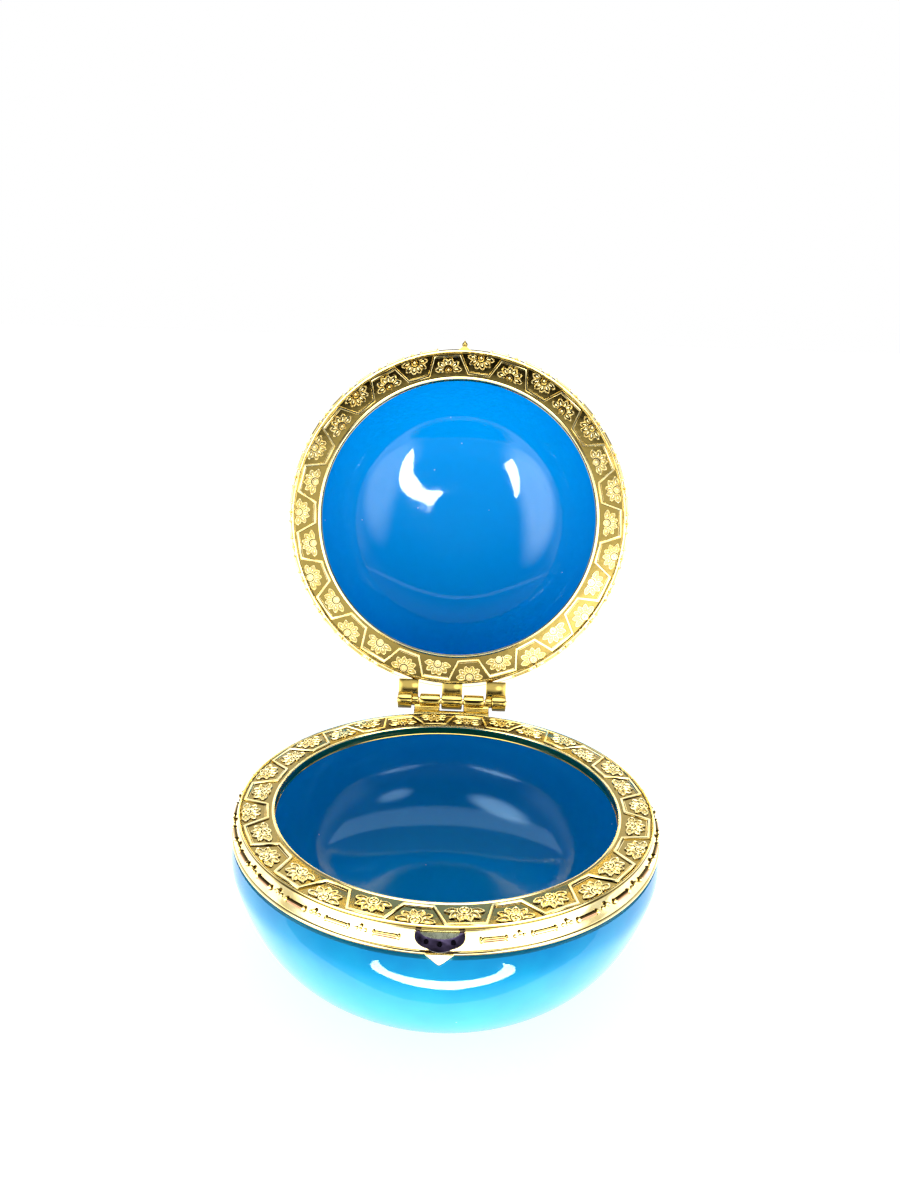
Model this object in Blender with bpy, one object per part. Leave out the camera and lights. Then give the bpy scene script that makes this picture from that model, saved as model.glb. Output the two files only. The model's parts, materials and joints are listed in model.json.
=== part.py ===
"""Hinged macaron trinket box: two glazed bowls in cast gilt rims, standing open.

All sizes are in millimetres and become metres as each mesh is made. The origin is the centre
of the underside, +Z is up, the clasp is at -Y and the hinge is at +Y.
"""
import math

import bmesh
import bpy
from mathutils import Matrix, Vector

MM = 0.001
WELD = 0.0005                 # points nearer than this are one point
SMOOTH_ANGLE = 32             # edges sharper than this, in degrees, stay crisp
RIM_SIDES = 60                # facets round each rim, so a facet is half a panel wide
BOWL_SIDES = 48

# the frame of the box
FLANGE_Z = 23.5               # top of the base rim's flange above the underside
CLOSED_GAP = 1.375            # between the two flanges when the lid is down
OPENING_R = 27.5              # clear radius of both openings
OPEN_ANGLE = 106.38           # the lid's angle from closed, where the hinge stops

# the cast rims: depths are measured from the flange's face, away from the other half
FLANGE_THICK = 0.75
FLANGE_EDGE_R = 33.05
INNER_WALL = (0.70, 1.60)     # thickness and depth of the collar round the opening
OUTER_LIP = (0.50, 0.45)      # width and height of the line at the flange's edge
BAND_DEPTH = 3.30
BAND_FOOT_R = 34.20
FOOT_LIP = 0.45
BAND_INNER_FOOT_R = 33.35
BAND_INNER_TOP_R = 32.45
BAR_TOP, BAR_FOOT = 0.85, 1.80          # depths between which the bars stand on the band
BAR_R = (33.15, 33.30)
BAR_INSET, BAR_HEIGHT = 0.16, 0.38
BAND_OUTSIDE_R = 32.95        # only the band's outer face lies beyond this
BARE_FRONT = (0, 7)           # stretches without bars: middle and half width, degrees
BASE_BARE_BACK = (180, 13)
LID_BARE_BACK = (180, 19)
PANEL_PITCH = 12              # degrees from one flower panel to the next
RIDGE_IN_R, RIDGE_OUT_R = 28.90, 32.10
RIDGE_IN_HALF, RIDGE_OUT_HALF = 4.1, 4.7     # half lengths of the ridge's runs, degrees
RIDGE_WIDTH, RIDGE_HEIGHT, RIDGE_ROOT = 0.36, 0.28, 0.30
RIDGE_TAPER = 0.6             # width of the ridge's top over its foot's
MITRE_LIMIT = 0.5

# the bowls
NECK_TOP = 1.05               # depth of the bowl's edge, clear of the flange
NECK_R = 32.10
SHOULDER_DEPTH = 3.62
INNER_R, INNER_START = 28.60, 1.65
INNER_POWERS = (3.3, 2.0)
BASE_BULGE = (34.50, 6.95, 20.70)       # radius, its depth, and the fall below it
BASE_POWERS = (4.25, 1.40)
BASE_INNER_DEPTH = 20.80
FOOT_CHAMFER = 0.55
LID_BULGE = (34.00, 3.60, 19.70)
LID_POWERS = (2.0, 2.0)
LID_INNER_DEPTH = 20.70
BOWL_STEPS = 7                # rings in each curved wall

# the hinge
PIVOT_Y = 36.72
PIVOT_Z = 1.23                # above the base flange's face
LID_KNUCKLE_R = 1.65
BASE_KNUCKLE_R = 1.45
COLLAR_R = 1.05
BORE_R, PIN_R = 0.75, 0.65
CENTRE_KNUCKLE = 2.05         # half length
BASE_KNUCKLE = (2.35, 6.35)
COLLAR = (6.65, 7.95)
OUTER_KNUCKLE = (7.95, 10.75)
PIN_HALF = 11.05
KNUCKLE_ARC = (-25, 215)      # degrees that a base knuckle's round runs between
WEB_FRONT, WEB_BACK, WEB_Z = 1.3, 1.1, -0.55    # its foot, which sinks into the plate
LUG_ROOT_R = 32.75            # lugs start here, inside the band's wall
LUG_STEPS = 3
ARM_Z = (1.50, 2.40)
PLATE_Z = (-1.00, -0.10)
PLATE_HALF, PLATE_BACK_Y = 7.40, 37.40
NOTCH = (2.35, 34.70)         # half width, and where it begins
OVERLAP = 0.1                 # how far joined pieces run into each other
ROUND_SIDES = 12

# the clasp
TAB_HALF, TAB_LONG, TAB_THICK = 3.50, 2.50, 0.60
TAB_TOP = (-33.50, -0.30)
TAB_LEAN = 46                 # degrees that the tab's face leans back from upright
TAB_LOBES, LOBE_STEPS = 3, 6
TAB_FILL = 0.93               # how much of the tab's half width and length its edge takes
TAB_SWELL = 0.07              # how far each lobe stands out, over the tab's size
TAB_SHIFT = 0.12
DROP_HALF, DROP_TOP, DROP_POINT = 1.70, -2.60, -3.95
DROP_Y = (-34.72, -35.25)
DROP_ROOT_Y = -33.60
PEAK_HALF, PEAK_Y, PEAK_BALL_R = 2.30, -34.40, 0.50
PEAK_ROOT_Y, PEAK_THICK = -32.80, 0.85
PEAK_STEPS, PEAK_CURVE = (0, 0.4, 0.65, 0.85), 2.2
PEAK_CLEAR = 0.05             # gap between the peak and the flange's face

GILT = ((0.83, 0.62, 0.24), 0.22, 1.0)
DARK_GILT = ((0.16, 0.13, 0.12), 0.25, 1.0)
PIN_BRASS = ((0.72, 0.55, 0.25), 0.30, 1.0)
BASE_GLAZE = ((0.02, 0.36, 0.72), 0.08, 0.0)
LID_GLAZE = ((0.02, 0.42, 0.82), 0.08, 0.0)


def clear_scene():
    for item in list(bpy.data.objects):
        bpy.data.objects.remove(item)


def material(name, look):
    colour, roughness, metallic = look
    made = bpy.data.materials.new(name)
    made.use_nodes = True
    shader = made.node_tree.nodes["Principled BSDF"]
    shader.inputs["Base Color"].default_value = (*colour, 1)
    shader.inputs["Roughness"].default_value = roughness
    shader.inputs["Metallic"].default_value = metallic
    return made


def finish(bm, name, parent=None, look=None):
    """Turns a bmesh in millimetres into a smooth-shaded object in metres."""
    bmesh.ops.remove_doubles(bm, verts=bm.verts, dist=WELD)
    bmesh.ops.recalc_face_normals(bm, faces=bm.faces)
    bmesh.ops.scale(bm, vec=(MM, MM, MM), verts=bm.verts)
    mesh = bpy.data.meshes.new(name)
    bm.to_mesh(mesh)
    bm.free()
    mesh.shade_smooth()
    mesh.set_sharp_from_angle(angle=math.radians(SMOOTH_ANGLE))
    piece = bpy.data.objects.new(name, mesh)
    bpy.context.scene.collection.objects.link(piece)
    piece.parent = parent
    if look:
        mesh.materials.append(look)
    return piece


def turned(profile, sides, closed):
    """A bmesh of (radius, z) points turned about Z, with a facet centred on the front."""
    bm = bmesh.new()
    verts = [bm.verts.new((0, -radius, z)) for radius, z in profile]
    pairs = zip(verts, verts[1:] + verts[:1] if closed else verts[1:])
    edges = [bm.edges.new(pair) for pair in pairs]
    turn_to_facet = Matrix.Rotation(math.pi / sides, 3, "Z")
    bmesh.ops.rotate(bm, verts=verts, matrix=turn_to_facet)
    bmesh.ops.spin(bm, geom=verts + edges, axis=(0, 0, 1), cent=(0, 0, 0), steps=sides,
                   angle=math.tau, use_merge=True)
    return bm


def prism(outline, axis, low, high):
    """A bmesh of a flat outline drawn out along an axis from low to high.

    The outline's points are (x, y) along Z, (y, z) along X, and (x, z) along Y.
    """
    place = {"X": lambda a, b, c: (c, a, b), "Y": lambda a, b, c: (a, c, b),
             "Z": lambda a, b, c: (a, b, c)}[axis]
    bm = bmesh.new()
    face = bm.faces.new([bm.verts.new(place(a, b, low)) for a, b in outline])
    drawn = bmesh.ops.extrude_face_region(bm, geom=[face])["geom"]
    moved = [item for item in drawn if isinstance(item, bmesh.types.BMVert)]
    bmesh.ops.translate(bm, verts=moved, vec=Vector(place(0, 0, high - low)))
    return bm


def circle(centre, radius, start=0.0, end=360.0, sides=ROUND_SIDES):
    """Points of an arc; a full circle leaves out its repeated last point."""
    count = sides if end - start >= 360 else sides + 1
    turns = [math.radians(start + (end - start) * k / sides) for k in range(count)]
    return [(centre[0] + radius * math.cos(t), centre[1] + radius * math.sin(t)) for t in turns]


def polar(radius, degrees):
    """(x, y) at an angle from the front, positive towards +X."""
    turn = math.radians(degrees)
    return radius * math.sin(turn), -radius * math.cos(turn)


def combine(piece, tools, operation):
    """Joins tools to a piece, or cuts them from it, with an exact Boolean each."""
    for tool in tools:
        tool.hide_render = True
        tool.display_type = "WIRE"
        step = piece.modifiers.new(tool.name, "BOOLEAN")
        step.operation = operation
        step.solver = "EXACT"
        step.object = tool


def curved_wall(bulge, powers, depth, steps):
    """(radius, depth) points from a bulge down to a depth, on a squared-off ellipse."""
    radius, start, fall = bulge
    last = min(1.0, (depth - start) / fall)
    points = []
    for k in range(1, steps + 1):
        t = last * math.sin(math.pi / 2 * k / steps)
        wall = radius * max(0.0, 1 - t ** powers[1]) ** (1 / powers[0])
        points.append((wall, start + t * fall))
    return points


def shoulder_radius(bulge):
    radius, depth, fall = bulge
    return radius * (1 - 0.5 * ((SHOULDER_DEPTH - depth) / fall) ** 2)


def bowl_profile(bulge, powers, outer_depth, inner_depth, flat_foot):
    """The bowl's section from the middle of its outside to the middle of its inside."""
    outside = [(NECK_R, NECK_TOP), (NECK_R, SHOULDER_DEPTH), (shoulder_radius(bulge), SHOULDER_DEPTH)]
    if bulge[1] > SHOULDER_DEPTH:
        outside.append(bulge[:2])
    outside += curved_wall(bulge, powers, outer_depth, BOWL_STEPS)
    if flat_foot:
        edge = outside.pop()
        outside.append((edge[0] + FOOT_CHAMFER / 2, edge[1] - FOOT_CHAMFER))
        outside.append((edge[0] - FOOT_CHAMFER, edge[1]))
        outside.append((0.0, edge[1]))
    inner_bulge = (INNER_R, INNER_START, inner_depth - INNER_START)
    inside = [(INNER_R, NECK_TOP), (INNER_R, INNER_START)]
    inside += curved_wall(inner_bulge, INNER_POWERS, inner_depth, BOWL_STEPS)
    return outside[::-1] + inside


def base_bowl(look):
    profile = bowl_profile(BASE_BULGE, BASE_POWERS, FLANGE_Z, BASE_INNER_DEPTH, True)
    bm = turned([(radius, FLANGE_Z - depth) for radius, depth in profile], BOWL_SIDES, closed=False)
    return finish(bm, "base_bowl", look=look)


def lid_bowl(hinge, look):
    outer_depth = LID_BULGE[1] + LID_BULGE[2]
    profile = bowl_profile(LID_BULGE, LID_POWERS, outer_depth, LID_INNER_DEPTH, False)
    bm = turned([(radius, CLOSED_GAP + depth) for radius, depth in profile], BOWL_SIDES, closed=False)
    return finish(from_pivot(bm), "lid_bowl", hinge, look)


def rim_profile():
    """(radius, height) of a rim's section, heights above the flange's face."""
    wall, wall_depth = INNER_WALL
    lip_width, lip_height = OUTER_LIP
    lip_in = FLANGE_EDGE_R - lip_width
    return [
        (OPENING_R, 0.0), (lip_in, 0.0), (lip_in + 0.1, lip_height), (FLANGE_EDGE_R - 0.1, lip_height),
        (FLANGE_EDGE_R, 0.0), (BAR_R[0], -BAR_TOP), (BAR_R[1], -BAR_FOOT),
        (BAND_FOOT_R, -BAND_DEPTH + FOOT_LIP), (BAND_FOOT_R, -BAND_DEPTH),
        (BAND_INNER_FOOT_R, -BAND_DEPTH),
        (BAND_INNER_TOP_R, -FLANGE_THICK), (OPENING_R + wall, -FLANGE_THICK),
        (OPENING_R + wall, -wall_depth), (OPENING_R, -wall_depth),
    ]


def raise_bars(bm, bare):
    """Raises a bar on the band's upright strip at every panel joint outside the bare stretches."""
    bars = []
    for face in bm.faces:
        middle = face.calc_center_median()
        radius = math.hypot(middle.x, middle.y)
        on_strip = -BAR_FOOT < middle.z < -BAR_TOP and radius > BAND_OUTSIDE_R
        turn = math.degrees(math.atan2(middle.x, -middle.y)) % 360
        at_joint = abs((turn + PANEL_PITCH / 2) % PANEL_PITCH - PANEL_PITCH / 2) < 1
        clear = all(abs((turn - middle_turn + 180) % 360 - 180) > half for middle_turn, half in bare)
        if on_strip and at_joint and clear:
            bars.append(face)
    bmesh.ops.inset_individual(bm, faces=bars, thickness=BAR_INSET, depth=BAR_HEIGHT)


def ridge():
    """The raised zigzag line that runs round the flange between the flower panels."""
    path = []
    for k in range(360 // (2 * PANEL_PITCH)):
        middle = (2 * k - 0.5) * PANEL_PITCH
        path.append(polar(RIDGE_IN_R, middle - RIDGE_IN_HALF))
        path.append(polar(RIDGE_IN_R, middle + RIDGE_IN_HALF))
        path.append(polar(RIDGE_OUT_R, middle + PANEL_PITCH - RIDGE_OUT_HALF))
        path.append(polar(RIDGE_OUT_R, middle + PANEL_PITCH + RIDGE_OUT_HALF))
    bm = bmesh.new()
    rings = []
    for k, point in enumerate(path):
        here = Vector(point)
        before = (here - Vector(path[k - 1])).normalized()
        after = (Vector(path[(k + 1) % len(path)]) - here).normalized()
        along = (before + after).normalized()
        side = Vector((-along.y, along.x)) * RIDGE_WIDTH / 2 / max(MITRE_LIMIT, along.dot(after))
        low, high = -RIDGE_ROOT, RIDGE_HEIGHT
        corners = [(here - side, low), (here + side, low), (here + side * RIDGE_TAPER, high),
                   (here - side * RIDGE_TAPER, high)]
        rings.append([bm.verts.new((flat.x, flat.y, z)) for flat, z in corners])
    for k, ring in enumerate(rings):
        following = rings[(k + 1) % len(rings)]
        for a in range(4):
            b = (a + 1) % 4
            bm.faces.new((ring[a], ring[b], following[b], following[a]))
    return bm


def lug(x_low, x_high, back_y, heights):
    """A flat lug that grows out of the rim's back: its root follows the rim's curve."""
    low = math.degrees(math.asin(x_low / LUG_ROOT_R))
    high = math.degrees(math.asin(x_high / LUG_ROOT_R))
    root = []
    for k in range(LUG_STEPS + 1):
        turn = math.radians(low + (high - low) * k / LUG_STEPS)
        root.append((LUG_ROOT_R * math.sin(turn), LUG_ROOT_R * math.cos(turn)))
    return prism(root + [(x_high, back_y), (x_low, back_y)], "Z", *heights)


def placed(bm, name, place):
    """A piece drawn from the flange's height, moved to where its rim is."""
    bmesh.ops.transform(bm, matrix=place, verts=bm.verts)
    return finish(bm, name)


def base_rim(look):
    raised = Matrix.Translation((0, 0, FLANGE_Z))
    bm = turned(rim_profile(), RIM_SIDES, closed=True)
    raise_bars(bm, bare=[BARE_FRONT, BASE_BARE_BACK])
    bmesh.ops.transform(bm, matrix=raised, verts=bm.verts)
    rim = finish(bm, "base_rim", look=look)
    tools = [placed(ridge(), "base_ridge", raised)]
    notch_half, notch_y = NOTCH
    tools.append(placed(lug(-PLATE_HALF, PLATE_HALF, notch_y, PLATE_Z), "base_plate", raised))
    for side in (-1, 1):
        inner, outer = sorted((side * notch_half, side * PLATE_HALF))
        ear_y = notch_y - OVERLAP
        ear = prism([(inner, ear_y), (outer, ear_y), (outer, PLATE_BACK_Y), (inner, PLATE_BACK_Y)],
                    "Z", *PLATE_Z)
        tools.append(placed(ear, "base_ear", raised))
        low, high = sorted((side * BASE_KNUCKLE[0], side * BASE_KNUCKLE[1]))
        roll = circle((PIVOT_Y, PIVOT_Z), BASE_KNUCKLE_R, *KNUCKLE_ARC)
        web = [(PIVOT_Y - WEB_FRONT, WEB_Z), (PIVOT_Y + WEB_BACK, WEB_Z)]
        tools.append(placed(prism(roll + web, "X", low, high), "base_knuckle", raised))
    drop = [(-DROP_HALF, DROP_TOP), (DROP_HALF, DROP_TOP), (DROP_HALF, -BAND_DEPTH),
            (0, DROP_POINT), (-DROP_HALF, -BAND_DEPTH)]
    tools.append(placed(prism(drop, "Y", DROP_Y[1], DROP_Y[0]), "drop", raised))
    root_foot = -BAND_DEPTH + OVERLAP
    root = [(-DROP_HALF, DROP_TOP), (DROP_HALF, DROP_TOP), (DROP_HALF, root_foot),
            (-DROP_HALF, root_foot)]
    root_front = DROP_Y[1] + 2 * OVERLAP
    tools.append(placed(prism(root, "Y", root_front, DROP_ROOT_Y), "drop_root", raised))
    combine(rim, tools, "UNION")
    bore = prism(circle((PIVOT_Y, PIVOT_Z), BORE_R), "X", -BASE_KNUCKLE[1] - 1, BASE_KNUCKLE[1] + 1)
    combine(rim, [placed(bore, "base_bore", raised)], "DIFFERENCE")
    return rim


def from_pivot(bm):
    """Moves a piece drawn in the closed box, above the base flange, to the hinge axis's own frame."""
    bmesh.ops.translate(bm, verts=bm.verts, vec=(0, -PIVOT_Y, -PIVOT_Z))
    return bm


def lid_rim(hinge, look):
    turned_over = Matrix.Translation((0, 0, CLOSED_GAP)) @ Matrix.Rotation(math.pi, 4, "Y")
    bm = turned(rim_profile(), RIM_SIDES, closed=True)
    raise_bars(bm, bare=[BARE_FRONT, LID_BARE_BACK])
    bmesh.ops.transform(bm, matrix=turned_over, verts=bm.verts)
    rim = finish(from_pivot(bm), "lid_rim", hinge, look)
    zigzag = ridge()
    bmesh.ops.transform(zigzag, matrix=turned_over, verts=zigzag.verts)
    tools = [finish(from_pivot(zigzag), "lid_ridge", hinge)]
    arms = [(-CENTRE_KNUCKLE, CENTRE_KNUCKLE), (COLLAR[0] + OVERLAP, OUTER_KNUCKLE[1]),
            (-OUTER_KNUCKLE[1], -COLLAR[0] - OVERLAP)]
    for low, high in arms:
        tools.append(finish(from_pivot(lug(low, high, PIVOT_Y, ARM_Z)), "lid_arm", hinge))
    rolls = [(-CENTRE_KNUCKLE, CENTRE_KNUCKLE, LID_KNUCKLE_R)]
    for side in (-1, 1):
        for (near, far), radius in ((COLLAR, COLLAR_R), (OUTER_KNUCKLE, LID_KNUCKLE_R)):
            reach = far + 2 * OVERLAP if radius == COLLAR_R else far
            low, high = sorted((side * near, side * reach))
            rolls.append((low, high, radius))
    for low, high, radius in rolls:
        roll = prism(circle((PIVOT_Y, PIVOT_Z), radius), "X", low, high)
        tools.append(finish(from_pivot(roll), "lid_knuckle", hinge))
    flare_long = PEAK_Y - PEAK_ROOT_Y
    flare = [(PEAK_HALF * (1 - t), PEAK_ROOT_Y + flare_long * t ** PEAK_CURVE) for t in PEAK_STEPS]
    outline = flare + [(-x, y) for x, y in flare[::-1]]
    peak_z = CLOSED_GAP + PEAK_CLEAR
    peak = prism(outline, "Z", peak_z, peak_z + PEAK_THICK)
    tools.append(finish(from_pivot(peak), "lid_peak", hinge))
    ball = bmesh.new()
    centre = Matrix.Translation((0, PEAK_Y, CLOSED_GAP + PEAK_BALL_R))
    bmesh.ops.create_icosphere(ball, subdivisions=2, radius=PEAK_BALL_R, matrix=centre)
    tools.append(finish(from_pivot(ball), "lid_ball", hinge))
    combine(rim, tools, "UNION")
    bore = prism(circle((PIVOT_Y, PIVOT_Z), BORE_R), "X", -PIN_HALF - 1, PIN_HALF + 1)
    combine(rim, [finish(from_pivot(bore), "lid_bore", hinge)], "DIFFERENCE")
    return rim


def hinge_pin(look):
    bm = prism(circle((PIVOT_Y, FLANGE_Z + PIVOT_Z), PIN_R), "X", -PIN_HALF, PIN_HALF)
    return finish(bm, "hinge_pin", look=look)


def clasp_tab(look):
    """The scalloped half-moon that the thumb presses, leaning out from under the flange."""
    outline = [(TAB_HALF, 0.0)]
    for lobe in range(TAB_LOBES):
        for k in range(LOBE_STEPS + 1):
            t = (lobe + k / LOBE_STEPS) / TAB_LOBES * math.pi
            size = TAB_FILL * (1 + TAB_SWELL * math.sin(math.pi * k / LOBE_STEPS))
            x = TAB_HALF * size * math.cos(t)
            outline.append((x, -TAB_LONG * size * math.sin(t) - TAB_SHIFT))
    outline.append((-TAB_HALF, 0.0))
    bm = prism(outline, "Y", -TAB_THICK, 0.0)
    lean = Matrix.Rotation(math.radians(-TAB_LEAN), 4, "X")
    place = Matrix.Translation((0, TAB_TOP[0], FLANGE_Z + TAB_TOP[1])) @ lean
    bmesh.ops.transform(bm, matrix=place, verts=bm.verts)
    return finish(bm, "clasp_tab", look=look)


def main():
    clear_scene()
    gilt = material("gilt", GILT)
    hinge = bpy.data.objects.new("lid_hinge", None)
    bpy.context.scene.collection.objects.link(hinge)
    hinge.location = (0, PIVOT_Y * MM, (FLANGE_Z + PIVOT_Z) * MM)
    hinge.rotation_euler = (-math.radians(OPEN_ANGLE), 0, 0)
    base_bowl(material("base_glaze", BASE_GLAZE))
    base_rim(gilt)
    clasp_tab(material("dark_gilt", DARK_GILT))
    hinge_pin(material("pin_brass", PIN_BRASS))
    lid_bowl(hinge, material("lid_glaze", LID_GLAZE))
    lid_rim(hinge, gilt)


main()
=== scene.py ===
import json
import math

import bpy
from mathutils import Matrix, Vector


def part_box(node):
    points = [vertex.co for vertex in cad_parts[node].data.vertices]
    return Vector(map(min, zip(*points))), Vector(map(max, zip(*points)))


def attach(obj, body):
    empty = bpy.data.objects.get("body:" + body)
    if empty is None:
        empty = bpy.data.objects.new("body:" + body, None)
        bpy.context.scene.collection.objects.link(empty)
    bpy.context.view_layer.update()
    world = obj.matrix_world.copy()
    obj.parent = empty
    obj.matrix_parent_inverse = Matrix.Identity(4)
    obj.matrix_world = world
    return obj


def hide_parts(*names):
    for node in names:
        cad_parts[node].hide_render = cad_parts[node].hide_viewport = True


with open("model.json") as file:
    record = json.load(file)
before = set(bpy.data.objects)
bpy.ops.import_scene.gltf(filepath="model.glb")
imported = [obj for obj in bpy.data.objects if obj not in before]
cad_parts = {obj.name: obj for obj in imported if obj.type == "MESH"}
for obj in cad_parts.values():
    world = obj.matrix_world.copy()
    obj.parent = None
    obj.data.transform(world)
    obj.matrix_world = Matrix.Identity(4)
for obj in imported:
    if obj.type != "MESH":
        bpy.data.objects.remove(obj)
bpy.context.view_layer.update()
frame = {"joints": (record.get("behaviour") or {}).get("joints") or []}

# Each half is made on the bench: in millimetres, lying flat with its flange's face up at z 0,
# its front at -Y and its hinge at +Y. Placing it scales it to metres and puts it on the box.
mm = 0.001
hinge = frame["joints"][0]
pivot = Vector(hinge["pos_m"])
openAngle = math.radians(hinge["range_deg"][1])
box = {
    "neckToFlange": 1.05,      # the bowls' edges stop this far short of the flange's face
    "closedGap": 1.375,        # between the two flanges with the lid down
}
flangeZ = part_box("base_bowl")[1].z / mm + box["neckToFlange"]
pivotOnBase = Vector((0, pivot.y / mm, pivot.z / mm - flangeZ))
pivotOnLid = Vector((0, pivotOnBase.y, box["closedGap"] - pivotOnBase.z))
mergeWithin = 0.004            # points nearer than this are one point
toMetres = Matrix.Scale(mm, 4)
basePlace = toMetres @ Matrix.Translation((0, 0, flangeZ))
lidShut = basePlace @ Matrix.Translation((0, 0, box["closedGap"])) @ Matrix.Rotation(math.pi, 4, "Y")
lidPlace = (Matrix.Translation(pivot) @ Matrix.Rotation(-openAngle, 4, "X")
            @ Matrix.Translation(-pivot) @ lidShut)


# ---- bench tools
def rotate(degrees, axis="Z"):
    return Matrix.Rotation(math.radians(degrees), 4, axis)


def clearSelection():
    if bpy.context.object and bpy.context.object.mode != "OBJECT":
        bpy.ops.object.mode_set(mode="OBJECT")
    bpy.ops.object.select_all(action="DESELECT")


def editOnly(piece):
    clearSelection()
    piece.select_set(True)
    bpy.context.view_layer.objects.active = piece


def openEdit(piece):
    # into edit mode with all of the piece selected
    editOnly(piece)
    bpy.ops.object.mode_set(mode="EDIT")
    bpy.ops.mesh.select_mode(type="VERT")
    bpy.ops.mesh.select_all(action="SELECT")


def cleanUp(piece):
    openEdit(piece)
    bpy.ops.mesh.remove_doubles(threshold=mergeWithin)
    bpy.ops.mesh.normals_make_consistent(inside=False)
    bpy.ops.object.mode_set(mode="OBJECT")


def joinAll(pieces, name):
    clearSelection()
    for piece in pieces:
        piece.select_set(True)
    bpy.context.view_layer.objects.active = pieces[0]
    bpy.ops.object.join()
    pieces[0].name = name
    pieces[0].data.name = name
    return pieces[0]


def settle(piece):
    # puts the object's own place, turn and size into its mesh
    editOnly(piece)
    bpy.ops.object.transform_apply(location=True, rotation=True, scale=True)


def copyTo(piece, place):
    twin = piece.copy()
    twin.data = piece.data.copy()
    bpy.context.scene.collection.objects.link(twin)
    twin.matrix_world = place
    settle(twin)
    return twin


def discard(piece):
    bpy.data.objects.remove(piece)


def addBevel(piece, width, segments=2, angle=30):
    bevel = piece.modifiers.new("edges", "BEVEL")
    bevel.width = width
    bevel.segments = segments
    bevel.limit_method = "ANGLE"
    bevel.angle_limit = math.radians(angle)
    editOnly(piece)
    bpy.ops.object.modifier_apply(modifier=bevel.name)


def drawLine(name, points):
    # one vertex pulled from point to point
    clearSelection()
    bpy.ops.mesh.primitive_plane_add(size=0.1)
    line = bpy.context.object
    line.name = name
    openEdit(line)
    bpy.ops.mesh.merge(type="CENTER")
    bpy.ops.transform.translate(value=points[0])
    for here, there in zip(points, points[1:]):
        bpy.ops.mesh.extrude_region_move(TRANSFORM_OT_translate={"value": there - here})
    bpy.ops.object.mode_set(mode="OBJECT")
    return line


def turnProfile(name, profile, steps):
    # spins a section of (radius, z) points once round Z
    turned = drawLine(name, [Vector((0, -radius, z)) for radius, z in profile])
    openEdit(turned)
    bpy.ops.mesh.spin(steps=steps, angle=math.tau, center=(0, 0, 0), axis=(0, 0, 1))
    cleanUp(turned)
    return turned


def aroundZ(degrees, radius=0.0, z=0.0, turn=0.0):
    # a place on the bench at an angle from the front, with local +Y pointing outwards
    return rotate(degrees + 180) @ Matrix.Translation((0, radius, z)) @ rotate(turn)


def finishPiece(piece, place, body, material, nodes, sharp=34):
    # from the bench to the box; edges sharper than sharp, in degrees, stay crisp
    # a finish reads where each point lay on the bench, so it follows its piece wherever that goes
    spot = piece.data.attributes.new("benchSpot", "FLOAT_VECTOR", "POINT")
    spot.data.foreach_set("vector", [n for vert in piece.data.vertices for n in vert.co])
    piece.matrix_world = place
    settle(piece)
    bpy.ops.object.shade_smooth_by_angle(angle=math.radians(sharp))
    if material:
        piece.data.materials.append(material)
    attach(piece, body)
    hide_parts(*nodes)
    print(piece.name, "has", len(piece.data.polygons), "faces")


def markValue(piece, name, rule):
    # a value from 0 to 1 at each point, which a finish can read
    kept = piece.data.attributes.new(name, "FLOAT", "POINT")
    kept.data.foreach_set("value", [rule(vert) for vert in piece.data.vertices])


def ramp(value, low, high):
    # 0 at low, 1 at high and straight between; low may be above high
    return min(1.0, max(0.0, (value - low) / (high - low)))


def paintFootShade(piece, heights, shade=1.0, axis=2):
    # painted shade at the foot of raised work, which clears between two heights
    markValue(piece, "hollow", lambda vert: shade * (1 - ramp(vert.co[axis], *heights)))


def drawShape(name, outline, rise):
    # a flat outline filled and drawn out along a direction
    shape = drawLine(name, outline + outline[:1])
    openEdit(shape)
    bpy.ops.mesh.remove_doubles(threshold=mergeWithin)
    bpy.ops.mesh.select_all(action="SELECT")
    bpy.ops.mesh.edge_face_add()
    bpy.ops.mesh.extrude_region_move(TRANSFORM_OT_translate={"value": rise})
    cleanUp(shape)
    return shape


def raiseLine(name, points, width, height, root, edge, closed=False):
    # a raised line with softened edges, standing on z 0 with its foot sunk in
    line = drawLine(name, [Vector((x, y, -root)) for x, y in points + points[:closed]])
    openEdit(line)
    bpy.ops.mesh.remove_doubles(threshold=mergeWithin)
    bpy.ops.mesh.select_all(action="SELECT")
    bpy.ops.mesh.extrude_region_move(TRANSFORM_OT_translate={"value": (0, 0, root + height)})
    bpy.ops.mesh.select_all(action="SELECT")
    bpy.ops.mesh.normals_make_consistent(inside=False)
    bpy.ops.object.mode_set(mode="OBJECT")
    wall = line.modifiers.new("wall", "SOLIDIFY")
    wall.thickness = width
    wall.offset = 0
    wall.use_even_offset = True
    bpy.ops.object.modifier_apply(modifier=wall.name)
    cleanUp(line)
    addBevel(line, edge, segments=1, angle=45)
    return line


def bead(radius, at, squash=(1, 1, 1), segments=8, rings=6):
    clearSelection()
    bpy.ops.mesh.primitive_uv_sphere_add(segments=segments, ring_count=rings, radius=radius,
                                         location=at, scale=squash)
    made = bpy.context.object
    settle(made)
    return made


def polar(radius, degrees):
    # (x, y) at an angle from the front, positive towards +X
    turn = math.radians(degrees)
    return radius * math.sin(turn), -radius * math.cos(turn)


def sectionBetween(low, high, end):
    # a section with two like ends; end holds radii and how far in from the end each one lies
    return ([(radius, low + back) for radius, back in end]
            + [(radius, high - back) for radius, back in end[::-1]])


def bothSides(near, far):
    return (-far, -near), (near, far)


def layAlong(piece, place):
    # turns a piece that was spun round Z so that it lies along X, and places it
    piece.matrix_world = place @ rotate(90, "Y")
    settle(piece)
    return piece


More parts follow.
